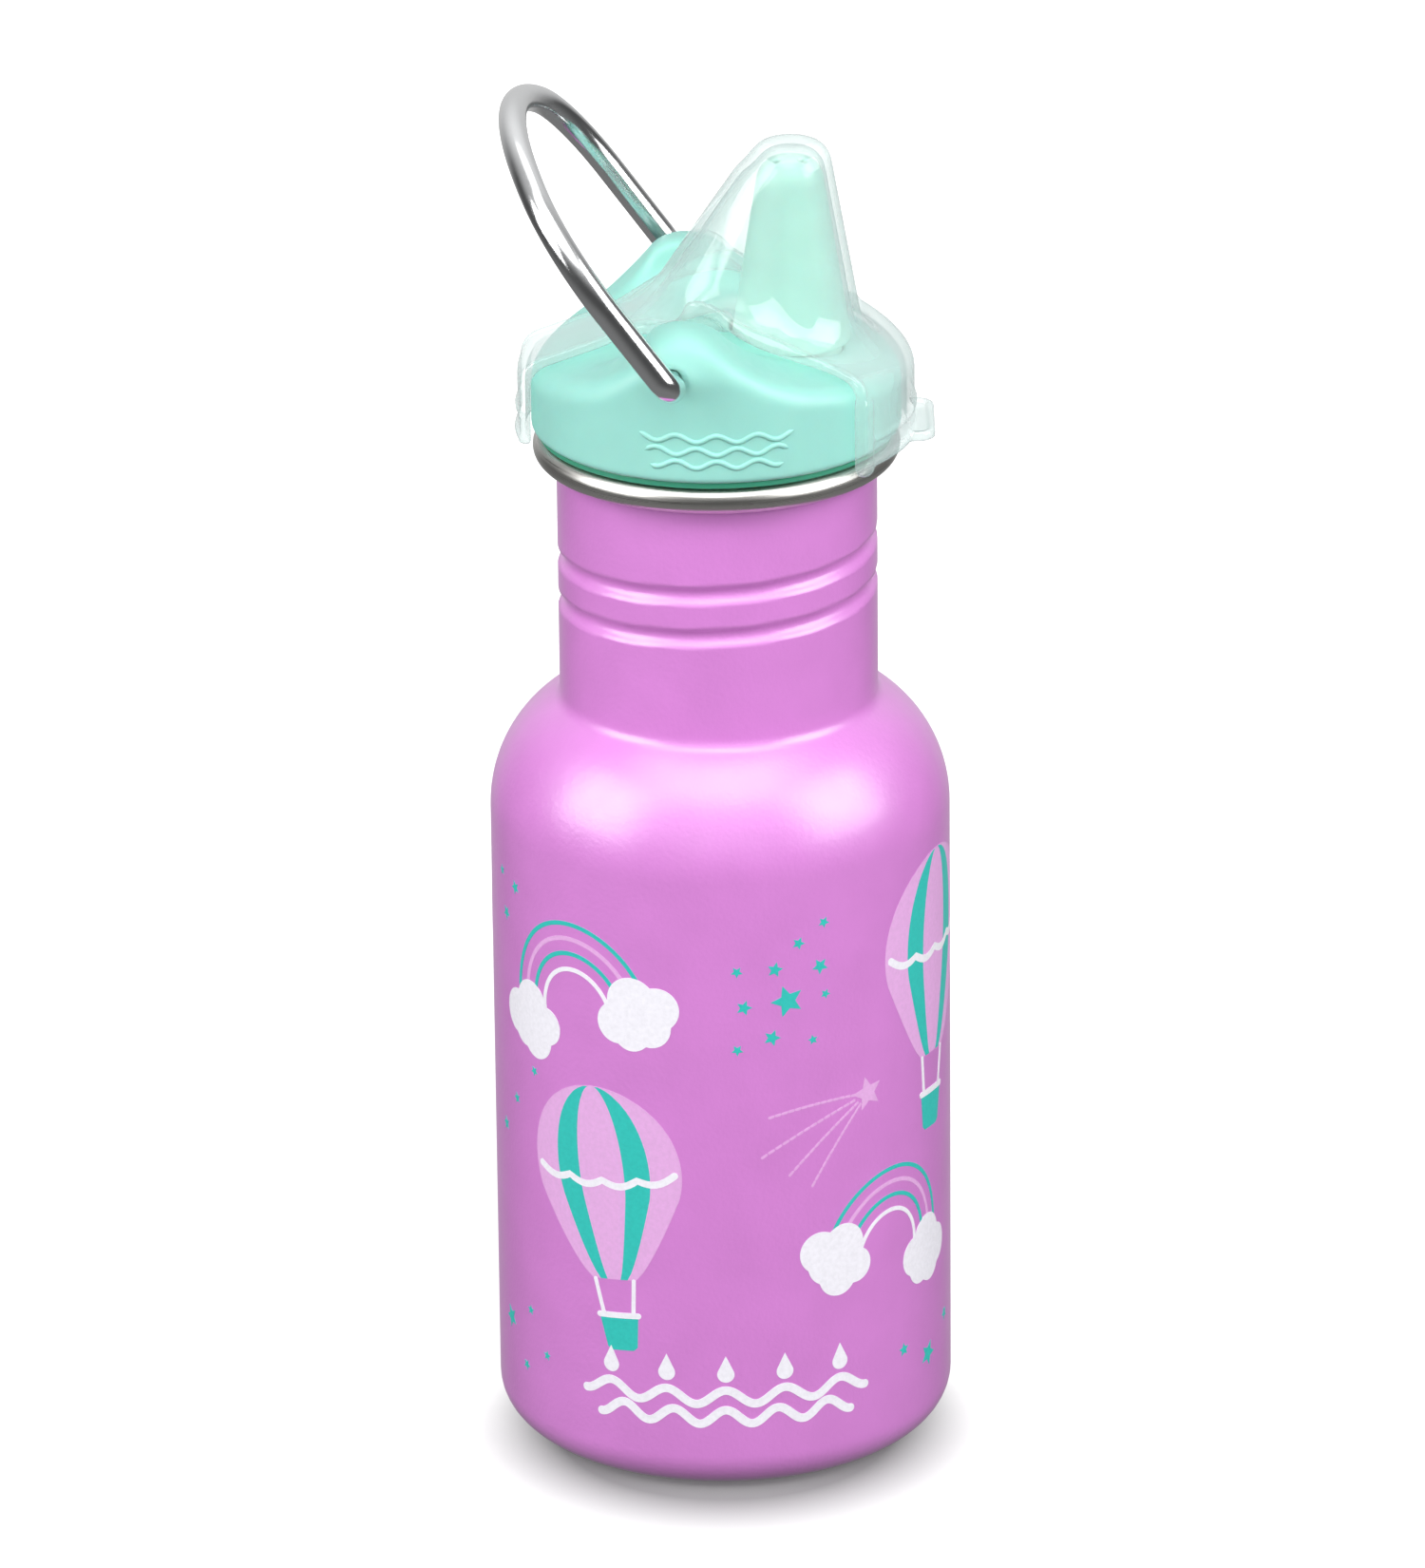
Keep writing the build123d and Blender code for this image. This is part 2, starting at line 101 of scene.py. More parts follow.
SNAP_MIDDLE, SNAP_HALF, SNAP_DEPTH = 157.5, 1.15, 0.75
SPOUT_HOLE_R = 7.25
CAP_THREAD_TURNS, CAP_THREAD_DROP, CAP_THREAD_COIL, CAP_THREAD_R = 1.75, 2.9, 20.6, 1.3
RELIEF_ROWS, RELIEF_TOP, RELIEF_STEP, RELIEF_HALF = 3, 159.0, 1.9, 11.5
RELIEF_R, RELIEF_SUNK = 0.42, 0.14

# --- Spout ------------------------------------------------------------------------------------
SPOUT_FOOT_R, SPOUT_FOOT, SPOUT_TIP_R, SPOUT_NECK_R = 8.4, 0.9, 4.3, 7.2
SPOUT_WALL, CHANNEL_R, CHANNEL_TAPER = 1.7, 5.5, 0.107
DRINK_HOLES, DRINK_CIRCLE, DRINK_R, DRINK_DEPTH = 3, 2, 0.6, 4
FLANGE_R, FLANGE_ROUND, FLANGE_THICKNESS = 19.3, 0.3, 2.2

# --- Dust cover -------------------------------------------------------------------------------
COVER_GAP, COVER_WALL = 0.8, 1.1
SKIRT_R = CAP_R + COVER_GAP + COVER_WALL
COVER_BOTTOM = 151.5
COVER_HALF_Y = 22.5
DOME_TOP, DOME_FOOT = cover_high.z, 160.0
DOME_R, DOME_TIP_R = 11.3, 5.35
HEEL_X, HEEL_R = -1.4, 16.0        # the dome's slope towards the ears, at its foot
HEEL_TIP_X, HEEL_TIP_R, HEEL_DROP = SPOUT_X - 1.4, 5.2, 2.4
HOOK_X, WING_X, SKIRT_X, FAR_X = -14.0, -1.6, 17.1, 60.0
HOOK_HALF, WING_HALF, SKIRT_HALF, WING_SLOPE = 7.0, 16.4, 16.5, 0.32
EDGE_EXTRA, EDGE_MIDDLE, EDGE_REACH = 0.3, 0.7, 0.9
BEAD_R, BEAD_SUNK, RIB_Z, RIB_R = 0.6, 0.15, 155.6, 0.35
BAR_HALF, BAR_PROUD, BAR_TOP = 1.2, 0.65, 162
TAB_HALF, TAB_CORNER, TAB_HALF_THICK = 5.1, 2.4, 0.75
TAB_RIM, TAB_FLOOR = 1.0, 1.1
SKIRT_HALF_ANGLE = radians(44)

# --- Working around the scene -----------------------------------------------------------------


def srgb(red, green, blue):
    """Scene-linear colour of an 8-bit display colour."""
    return tuple(
        c / 12.92 if c <= 0.04045 else ((c + 0.055) / 1.055) ** 2.4
        for c in (red / 255, green / 255, blue / 255)
    ) + (1.0,)


def mesh_piece(name, points, faces, material, body, nodes=()):
    """A named mesh from points in millimetres, riding on a body."""
    mesh = bpy.data.meshes.new(name)
    mesh.from_pydata((np.asarray(points) * MM).tolist(), [], [list(map(int, f)) for f in faces])
    mesh.validate()
    bm = bmesh.new()
    bm.from_mesh(mesh)
    bmesh.ops.remove_doubles(bm, verts=bm.verts, dist=1e-7)
    bmesh.ops.recalc_face_normals(bm, faces=bm.faces)
    bm.to_mesh(mesh)
    bm.free()
    for polygon in mesh.polygons:
        polygon.use_smooth = True
    piece = bpy.data.objects.new(name, mesh)
    bpy.context.scene.collection.objects.link(piece)
    mesh.materials.append(material)
    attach(piece, body)
    if nodes:
        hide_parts(*nodes)
    return piece


def lathe(loop, segments=SEGMENTS, centre=(0, 0), push=None):
    """Points and faces of a closed (r, z) loop turned about a vertical axis.
    push(angle, z) is taken off the radius."""
    loop = np.asarray(loop, float)
    angle = np.arange(segments) * 2 * pi / segments
    r = np.repeat(loop[:, :1], segments, 1)
    z = np.repeat(loop[:, 1:], segments, 1)
    a = np.repeat(angle[None], len(loop), 0)
    if push:
        r = r - push(a, z)
    points = np.stack([centre[0] + r * np.cos(a), centre[1] + r * np.sin(a), z], -1).reshape(-1, 3)
    i, j = np.meshgrid(np.arange(len(loop)), np.arange(segments), indexing="ij")
    i2, j2 = (i + 1) % len(loop), (j + 1) % segments
    corners = [i * segments + j, i * segments + j2, i2 * segments + j2, i2 * segments + j]
    return points, np.stack(corners, -1).reshape(-1, 4)


def tube(path, radii, segments=32):
    """Points and faces of a round tube along a path, closed by a flat disc at each end."""
    path = np.asarray(path, float)
    ahead = np.gradient(path, axis=0)
    ahead /= np.linalg.norm(ahead, axis=1)[:, None]
    side = np.cross(ahead[0], (0.3, 0.2, 0.9))
    rings = []
    for point, way, radius in zip(path, ahead, radii):
        side = side - way * side.dot(way)
        side /= np.linalg.norm(side)
        across = np.cross(way, side)
        a = np.arange(segments)[:, None] * 2 * pi / segments
        rings.append(point + radius * (np.cos(a) * side + np.sin(a) * across))
    count = len(rings)
    faces = []
    for i in range(count - 1):
        for j in range(segments):
            k = (j + 1) % segments
            near, far = i * segments, (i + 1) * segments
            faces.append([near + j, near + k, far + k, far + j])
    faces.append(list(range(segments))[::-1])
    faces.append([(count - 1) * segments + j for j in range(segments)])
    return np.concatenate(rings), faces


# --- Solids given by a field that is negative inside ------------------------------------------


def smax(a, b, blend):
    """Larger of two fields, with the edge between them rounded."""
    near = np.clip(blend - np.abs(a - b), 0, None)
    return np.maximum(a, b) + near * near / (4 * blend)


def smin(a, b, blend):
    return -smax(-a, -b, blend)


def pull(field, points, reach, steps=3):
    """Moves points onto the field's zero surface."""
    small = 1e-3
    for _ in range(steps):
        value = field(*points.T)
        slope = np.stack(
            [(field(*(points + e).T) - field(*(points - e).T)) / (2 * small) for e in np.eye(3) * small], -1
        )
        move = -value[:, None] * slope / np.maximum((slope**2).sum(1), 0.05)[:, None]
        length = np.linalg.norm(move, axis=1)[:, None]
        points = points + move * np.minimum(1, reach / np.maximum(length, 1e-12))
    return points


def surface(field, low, high, pitch):
    """Points and quads of a field's zero surface, by surface nets on a grid."""
    axes = [np.arange(a - 2 * pitch, b + 3 * pitch, pitch) for a, b in zip(low, high)]
    value = field(*np.meshgrid(*axes, indexing="ij"))
    inside = value < 0
    shape = np.array(value.shape) - 1
    corners = [(i, j, k) for i in (0, 1) for j in (0, 1) for k in (0, 1)]

    def at(grid, corner):
        return grid[tuple(slice(c, c + n) for c, n in zip(corner, shape))]

    count = sum(at(inside, c).astype(np.int8) for c in corners)
    mixed = (count > 0) & (count < 8)
    cells = np.argwhere(mixed)
    index = np.full(mixed.shape, -1)
    index[mixed] = np.arange(len(cells))
    total, hits = np.zeros((len(cells), 3)), np.zeros(len(cells))
    for a in corners:
        for axis in range(3):
            if a[axis]:
                continue
            b = tuple(c + (n == axis) for n, c in enumerate(a))
            va, vb = at(value, a)[mixed], at(value, b)[mixed]
            cross = (va < 0) != (vb < 0)
            share = np.where(cross, va / np.where(cross, va - vb, 1), 0)
            place = np.array(a, float) + share[:, None] * np.eye(3)[axis]
            total += place * cross[:, None]
            hits += cross
    points = np.array([a[0] for a in axes]) + (cells + total / hits[:, None]) * pitch
    faces = []
    for axis in range(3):
        u, v = (axis + 1) % 3, (axis + 2) % 3
        ahead = np.roll(inside, -1, axis)
        change = inside != ahead
        for n, cut in ((axis, (0, -1)), (u, (1, -1)), (v, (1, -1))):
            line = np.zeros(inside.shape[n], bool)
            line[cut[0] : cut[1]] = True
            change &= line.reshape([-1 if m == n else 1 for m in range(3)])
        edge = np.argwhere(change)
        ring = []
        for du, dv in ((0, 0), (1, 0), (1, 1), (0, 1)):
            cell = edge.copy()
            cell[:, u] -= du
            cell[:, v] -= dv
            ring.append(index[tuple(cell.T)])
        quad = np.stack(ring, -1)
        flip = inside[tuple(edge.T)]
        quad[flip] = quad[flip][:, ::-1]
        faces.append(quad)
    faces = np.concatenate(faces)
    points = pull(field, points, pitch / 2)
    for _ in range(2):
        # Even out the net along the surface, then put it back on the surface.
        around = np.zeros_like(points)
        number = np.zeros(len(points))
        for k in range(4):
            a, b = faces[:, k], faces[:, (k + 1) % 4]
            for p, q in ((a, b), (b, a)):
                number += np.bincount(p, minlength=len(points))
                for n in range(3):
                    around[:, n] += np.bincount(p, points[q, n], len(points))
        points = pull(field, 0.5 * points + 0.5 * around / number[:, None], pitch / 2, 2)
    return points, faces


# --- Materials --------------------------------------------------------------------------------


class Paint:
    """A procedural material on one Principled shader."""

    def __init__(self, name, colour, roughness, metallic=0.0, **inputs):
        self.material = bpy.data.materials.new(name)
        self.material.use_nodes = True
        self.tree = self.material.node_tree
        self.shader = self.tree.nodes["Principled BSDF"]
        self.place = self.node("ShaderNodeTexCoord").outputs["Object"]
        self.set("Base Color", colour)
        self.set("Roughness", roughness)
        self.set("Metallic", metallic)
        for key, value in inputs.items():
            self.set(key.replace("_", " "), value)

    def node(self, kind, **values):
        made = self.tree.nodes.new(kind)
        for key, value in values.items():
            setattr(made, key, value)
        return made

    def set(self, key, value):
        self.shader.inputs[key].default_value = value

    def link(self, source, target):
        self.tree.links.new(source, target)

    def noise(self, size, detail=2.0, stretch=(1, 1, 1)):
        """Noise with features of about this size, in millimetres, as a value from 0 to 1."""
        scaled = self.node("ShaderNodeMapping")
        scaled.inputs["Scale"].default_value = tuple(1 / (size * MM * s) for s in stretch)
        self.link(self.place, scaled.inputs["Vector"])
        noise = self.node("ShaderNodeTexNoise")
        noise.inputs["Scale"].default_value = 1.0
        noise.inputs["Detail"].default_value = detail
        self.link(scaled.outputs["Vector"], noise.inputs["Vector"])
        return noise.outputs["Fac"]

    def ranged(self, value, low, high, source_low=0.3, source_high=0.7):
        """The value's range put between low and high."""
        ranged = self.node("ShaderNodeMapRange")
        for key, number in (
            ("From Min", source_low),
            ("From Max", source_high),
            ("To Min", low),
            ("To Max", high),
        ):
            ranged.inputs[key].default_value = number
        self.link(value, ranged.inputs["Value"])
        return ranged.outputs["Result"]

    def vary_colour(self, value, first, second):
        mix = self.node("ShaderNodeMix", data_type="RGBA")
        mix.inputs["A"].default_value = first
        mix.inputs["B"].default_value = second
        self.link(self.ranged(value, 0, 1), mix.inputs["Factor"])
        self.link(mix.outputs["Result"], self.shader.inputs["Base Color"])

    def vary_roughness(self, value, low, high):
        self.link(self.ranged(value, low, high), self.shader.inputs["Roughness"])

    def bump(self, value, height):
        """Relief of this height in millimetres."""
        bump = self.node("ShaderNodeBump")
        bump.inputs["Strength"].default_value = 1.0
        bump.inputs["Distance"].default_value = height * MM
        self.link(value, bump.inputs["Height"])
        self.link(bump.outputs["Normal"], self.shader.inputs["Normal"])


def shade(colour, share):
    return tuple(c * share for c in colour[:3]) + (1.0,)


ORCHID = srgb(211, 130, 209)
MINT = srgb(151, 214, 202)


def powder_coat():
    """Satin powder coat with a fine orange-peel relief."""
    finish = {"Specular_IOR_Level": 0.9, "Coat_Weight": 0.8, "Coat_Roughness": 0.32}
    paint = Paint("powder_coat_orchid", ORCHID, 0.34, **finish)
    paint.vary_colour(paint.noise(9, 3), shade(ORCHID, 0.97), shade(ORCHID, 1.03))
    paint.vary_roughness(paint.noise(2.5, 2), 0.30, 0.38)
    paint.bump(paint.noise(0.75, 2), 0.05)
    return paint.material


def ink(name, colour):
    """Screen-printed ink, slightly uneven over the coat's relief."""
    paint = Paint(name, colour, 0.4)
    paint.vary_colour(paint.noise(0.6, 2), shade(colour, 0.95), shade(colour, 1.03))
    paint.bump(paint.noise(0.75, 2), 0.035)
    return paint.material


def bare_steel(name, roughness):
    """Stainless steel with fine lines running round the bottle."""
    paint = Paint(name, (0.66, 0.65, 0.62, 1), roughness, 1.0)
    lines = paint.noise(0.22, 2, (60, 60, 1))
    paint.vary_roughness(lines, roughness - 0.05, roughness + 0.07)
    paint.bump(lines, 0.001)
    return paint.material


def polished_wire():
    paint = Paint("polished_wire", (0.78, 0.79, 0.80, 1), 0.16, 1.0)
    paint.vary_roughness(paint.noise(1.2, 3), 0.13, 0.2)
    return paint.material


def moulded_plastic():
    """Matte moulded cap plastic."""
    paint = Paint("cap_plastic_mint", MINT, 0.42, Subsurface_Weight=0.12, Subsurface_Scale=0.002)
    paint.vary_colour(paint.noise(7, 2), shade(MINT, 0.97), shade(MINT, 1.02))
    paint.vary_roughness(paint.noise(1.5, 2), 0.36, 0.48)
    paint.bump(paint.noise(0.35, 2), 0.012)
    return paint.material


def silicone(name, colour, roughness):
    paint = Paint(name, colour, roughness, Subsurface_Weight=0.2, Subsurface_Scale=0.003)
    paint.vary_colour(paint.noise(5, 2), shade(colour, 0.96), shade(colour, 1.03))
    paint.bump(paint.noise(0.5, 2), 0.012)
    return paint.material


def clear_plastic():
    """Milky clear moulding: mostly see-through face on, whiter towards its outline."""
    paint = Paint("clear_plastic", srgb(192, 207, 206), 0.2, Specular_IOR_Level=0.5)
    paint.vary_roughness(paint.noise(3, 2), 0.10, 0.18)
    paint.bump(paint.noise(4.0, 2), 0.02)
    clear = paint.node("ShaderNodeBsdfTransparent")
    clear.inputs["Color"].default_value = (0.98, 1.0, 0.99, 1)
    edge = paint.node("ShaderNodeLayerWeight")
    edge.inputs["Blend"].default_value = 0.4
    mix = paint.node("ShaderNodeMixShader")
    paint.link(paint.ranged(edge.outputs["Facing"], 0.16, 0.72, 0.1, 1.0), mix.inputs["Fac"])
    paint.link(clear.outputs["BSDF"], mix.inputs[1])
    paint.link(paint.shader.outputs["BSDF"], mix.inputs[2])
    gloss = paint.node("ShaderNodeBsdfGlossy")
    gloss.inputs["Roughness"].default_value = 0.1
    gloss.inputs["Color"].default_value = (0.025, 0.025, 0.025, 1)
    both = paint.node("ShaderNodeAddShader")
    paint.link(mix.outputs["Shader"], both.inputs[0])
    paint.link(gloss.outputs["BSDF"], both.inputs[1])
    output = paint.tree.nodes["Material Output"]
    paint.link(both.outputs["Shader"], output.inputs["Surface"])
    return paint.material


COAT_PAINT = powder_coat()
STEEL = bare_steel("bare_steel", 0.3)
WIRE = polished_wire()
CAP_PLASTIC = moulded_plastic()
SPOUT_SILICONE = silicone("spout_silicone_mint", srgb(158, 208, 194), 0.38)
# The seal's green is mint silicone darkened to the shade it sits in between lip and cap: painted shade.
SHADED_SEAL_SILICONE = silicone("seal_silicone", srgb(60, 150, 120), 0.5)
CLEAR = clear_plastic()
WHITE_INK = ink("ink_white", srgb(240, 238, 245))
TEAL_INK = ink("ink_teal", srgb(52, 192, 182))
PINK_INK = ink("ink_pale_pink", srgb(226, 172, 224))


# --- Bottle: coat, steel wall and rolled lip --------------------------------------------------


def wall_line(inset, top):
    """(r, z) points up the bottle's outer wall, moved inwards by inset, from base to top."""
    arc = np.linspace(-pi / 2, 0, 12)
    r, z = [], []
    r.extend(BODY_R - SKIN - CORNER + CORNER * np.cos(arc))
    z.extend(CORNER + CORNER * np.sin(arc))
    for height in np.linspace(CORNER, BODY_TOP, 16)[1:-1]:
        r.append(BODY_R - SKIN)
        z.append(height)
    centre = BODY_R - SKIN - SHOULDER_R
    turn = acos((NECK_R - centre) / SHOULDER_R)
    drop = SHOULDER_BLEND / SHOULDER_R
    for a in np.linspace(0, turn - drop, 30):
        r.append(centre + SHOULDER_R * cos(a))
        z.append(BODY_TOP + SHOULDER_Z * sin(a))
    foot = (r[-1], z[-1])
    bend = (NECK_R, BODY_TOP + SHOULDER_Z * sin(turn))
    end = (NECK_R, bend[1] + SHOULDER_BLEND)
    for t in np.linspace(0, 1, 8)[1:]:
        r.append((1 - t) ** 2 * foot[0] + 2 * t * (1 - t) * bend[0] + t * t * end[0])
        z.append((1 - t) ** 2 * foot[1] + 2 * t * (1 - t) * bend[1] + t * t * end[1])
    for height in np.arange(end[1] + 0.4, top, 0.4):
        r.append(NECK_R)
        z.append(height)
    line = np.stack([r, z], -1)
    ahead = np.gradient(line, axis=0)
    ahead /= np.linalg.norm(ahead, axis=1)[:, None]
    return line + inset * np.stack([-ahead[:, 1], ahead[:, 0]], -1)


def thread_groove(angle, z):
    """Depth of the helical groove formed into the neck."""
    along = (degrees(1) * angle - THREAD_LEAD) % 360
    depth = np.zeros_like(z)
    for turn in range(int(THREAD_TURNS)):
        offset = z - THREAD_START - PITCH * (turn + along / 360)
        cut = np.sqrt(np.clip(GROOVE_R**2 - offset**2, 0, None)) - GROOVE_OFFSET
        cut = np.where(np.abs(offset) < GROOVE_R, smax(cut, 0 * cut, 0.5), 0)
        if turn == 0:
            cut = cut * np.clip(along / GROOVE_FADE, 0, 1)
        if turn == THREAD_TURNS - 1:
            cut = cut * np.clip((360 - along) / GROOVE_FADE, 0, 1)
        depth = np.maximum(depth, cut)
    return depth


def make_bottle():
    outer, under = wall_line(0, COAT_TOP), wall_line(COAT, COAT_TOP)
    points, faces = lathe(np.concatenate([outer, under[::-1]]), push=thread_groove)
    mesh_piece("bottle_coat", points, faces, COAT_PAINT, "bottle", ["bottle_shell"])
    centre = (NECK_R - WALL + LIP_R, LIP_TOP - LIP_R)
    inside = [(centre[0] + (LIP_R - WALL) * cos(a), centre[1] + (LIP_R - WALL) * sin(a))
              for a in np.radians(np.arange(180, -121, -10))]
    outside = [(centre[0] + LIP_R * cos(a), centre[1] + LIP_R * sin(a))
               for a in np.radians(np.arange(-120, 181, 6))]
    steel_out = wall_line(COAT + 0.05, centre[1] - 0.4)
    steel_in = wall_line(WALL, centre[1] - 0.4)
    loop = np.concatenate([steel_out, inside, outside, steel_in[::-1]])
    points, faces = lathe(loop, push=thread_groove)
    mesh_piece("bottle_steel", points, faces, STEEL, "bottle", ["bottle_shell"])


# --- Prints on the body -----------------------------------------------------------------------


def star(place, size, turn=0.0):
    a = np.arange(10) * pi / 5 + pi / 2 + turn
    r = np.where(np.arange(10) % 2, 0.46, 1.0) * size
    return np.stack([place[0] + r * np.cos(a), place[1] + r * np.sin(a)], -1)


def stroke(line, width):
    """Outline of a line of even width with round ends."""
    line = np.asarray(line, float)
    ahead = np.gradient(line, axis=0)
    ahead /= np.linalg.norm(ahead, axis=1)[:, None]
    across = np.stack([-ahead[:, 1], ahead[:, 0]], -1) * width / 2
    turn = np.radians(np.arange(-75, 76, 15))[:, None]
    end = line[-1] + np.cos(turn) * ahead[-1] * width / 2 + np.sin(turn) * across[-1]
    start = line[0] - np.cos(turn) * ahead[0] * width / 2 - np.sin(turn) * across[0]
    return np.concatenate([line - across, end, (line + across)[::-1], start])


def cloud(place, puffs):
    """Outline of overlapping discs (x, z, radius), as far as they reach from the place."""
    outline = []
    for a in np.arange(0, 360, 4):
        way = (cos(radians(a)), sin(radians(a)))
        reach = 0.0
        for x, z, r in puffs:
            along = x * way[0] + z * way[1]
            root = along**2 - (x * x + z * z - r * r)
            if root > 0:
                reach = max(reach, along + sqrt(root))
        outline.append((place[0] + reach * way[0], place[1] + reach * way[1]))
    return np.array(outline)


def arch(place, radius, width, start=8, end=172):
    a = np.radians(np.linspace(start, end, 40))
    line = np.stack([place[0] + radius * np.cos(a), place[1] + 1.12 * radius * np.sin(a)], -1)
    return stroke(line, width)


def rainbow(inks, place, scale, tilt):
    """Four thin arches standing on two clouds."""
    def turned(shape):
        rel = scale * (shape - np.array(place))
        c, s = cos(tilt), sin(tilt)
        return np.stack([rel[:, 0] * c - rel[:, 1] * s, rel[:, 0] * s + rel[:, 1] * c], -1) + place
    for radius, colour in ((11.6, "teal"), (9.7, "pink"), (7.8, "teal"), (5.8, "white")):
        inks[colour].append(turned(arch(place, radius, 0.62)))
    left = [(-3.2, 1.0, 3.2), (0.4, 2.4, 3.3), (3.2, -0.6, 2.7), (0.6, -2.4, 3.0), (-1.6, -0.8, 3.0)]
    right = [(-2.6, -0.6, 3.0), (0.2, 2.0, 3.6), (3.6, 0.6, 3.1), (2.0, -1.8, 2.9), (-0.8, -2.2, 2.7)]
    inks["white"].append(turned(cloud((place[0] - 9.4, place[1] - 1.2), left)))
    inks["white"].append(turned(cloud((place[0] + 9.2, place[1] - 0.6), right)))


def balloon(inks, place, radius, tilt):
    """Hot-air balloon: envelope with striped gores, ropes and a basket."""
    c, s = cos(tilt), sin(tilt)

    def put(shape):
        shape = np.asarray(shape, float) * radius
        return np.stack([shape[:, 0] * c - shape[:, 1] * s, shape[:, 0] * s + shape[:, 1] * c], -1) + place

    def half_width(z):
        """Half the envelope's width at a height from -1.35 (mouth) to 1 (crown)."""
        round_top = np.sqrt(np.clip(1 - np.clip(z, -0.35, 1) ** 2, 0, None))
        taper = z + 1.35
        return np.where(z > -0.35, round_top, 0.28 + (0.937 - 0.28) * np.clip(taper, 0, 1) ** 0.8)

    height = np.concatenate([np.linspace(-1.35, 0.9, 26), 1 - 0.1 * np.linspace(1, 0, 7)[1:] ** 2])
    wide = half_width(height)
    inks["pink"].append(put(np.concatenate([
        np.stack([wide, height], -1), np.stack([-wide[:-1], height[:-1]], -1)[::-1]])))
    for low, high in ((0.30, 0.62), (-0.62, -0.30)):
        z = height[:-2]
        inks["teal"].append(put(np.concatenate([
            np.stack([high * half_width(z), z], -1), np.stack([low * half_width(z), z], -1)[::-1]])))
    band = np.linspace(-0.8, 0.8, 33)
    wave = 0.07 * np.abs(np.sin(band / 0.8 * pi * 2))
    swag = np.stack([band * 1.14, -0.02 - 0.12 * (1 - band**2) - wave], -1)
    inks["white"].append(put(stroke(swag, 0.085)))
    for side in (-1, 1):
        inks["white"].append(put(stroke(np.linspace((0.25 * side, -1.36), (0.19 * side, -1.78), 4), 0.05)))
    inks["teal"].append(put([(-0.25, -1.78), (0.25, -1.78), (0.19, -2.18), (0.14, -2.22), (-0.14, -2.22),
                             (-0.19, -2.18)]))
    inks["white"].append(put(stroke(np.linspace((-0.25, -1.79), (0.25, -1.79), 4), 0.07)))


def trails(inks, head, tails):
    """Shooting star: an outlined star and rows of dashes along its curved trails."""
    inks["pink"].append(star(head, 2.7, 0.2))
    head = np.array(head)
    for tail in tails:
        tail = np.array(tail)
        bend = (head + tail) / 2 + (0, 0.10 * np.linalg.norm(head - tail))
        for start in np.arange(0.14, 0.98, 0.062):
            t = np.linspace(start, start + 0.036, 3)[:, None]
            line = (1 - t) ** 2 * head + 2 * t * (1 - t) * bend + t * t * tail
            inks["pink"].append(stroke(line, 0.4))


STARS = [  # place round the body and up it, then size
    (-41.0, 88.4, 0.8), (-36.2, 87.4, 1.1), (-39.4, 82.4, 1.1),
    (9.4, 76.4, 2.5), (2.1, 81.4, 0.9), (7.6, 81.4, 1.2), (14.4, 81.0, 1.3), (11.1, 85.0, 1.0),
    (15.0, 87.6, 0.9), (3.1, 75.9, 1.2), (15.2, 76.6, 0.8), (7.1, 71.0, 1.3), (2.1, 69.4, 0.9),
    (13.2, 69.9, 0.8), (-36.7, 54.6, 0.9), (-41.0, 49.0, 1.1), (-31.6, 60.6, 0.8),
    (-40.2, 18.8, 1.8), (-33.6, 22.4, 0.8), (-35.0, 13.2, 0.9), (-29.6, 16.6, 0.8),
    (43.0, 17.4, 1.1), (29.6, 17.0, 1.1), (36.2, 13.9, 2.0),
]


def wrap_prints(name, outlines, colour, layer):
    """Outlines in (along, up) millimetres, filled, cut into strips and bent round the body."""
    bm = bmesh.new()
    for outline in outlines:
        bm.faces.new([bm.verts.new((u, v, 0)) for u, v in outline])
    bm.normal_update()
    bmesh.ops.triangulate(bm, faces=bm.faces, ngon_method="EAR_CLIP")
    span = [v.co.x for v in bm.verts]
    strip = 1.1
    for cut in np.arange(min(span) + strip / 3, max(span), strip):
        bmesh.ops.bisect_plane(
            bm, geom=bm.verts[:] + bm.edges[:] + bm.faces[:], plane_co=(cut, 0, 0), plane_no=(1, 0, 0)
        )
    # The film: this face outside, a copy of it just under the coat's face, and a rim between.
    bm.verts.index_update()
    flat = np.array([v.co for v in bm.verts])
    faces = [[v.index for v in f.verts] for f in bm.faces]
    rim = [[edge.verts[0].index, edge.verts[1].index] for edge in bm.edges if len(edge.link_faces) == 1]
    bm.free()
    count = len(flat)
    angle = np.tile(flat[:, 0] / BODY_R, 2)
    radius = BODY_R - SKIN + np.repeat([layer, -0.05], count)
    points = np.stack([radius * np.sin(angle), -radius * np.cos(angle), np.tile(flat[:, 1], 2)], -1)
    faces += [[n + count for n in face[::-1]] for face in faces]
    faces += [[a, b, b + count, a + count] for a, b in rim]
    piece = mesh_piece(name, points, faces, colour, "bottle")
    piece.data.set_sharp_from_angle(angle=radians(30))
    return piece


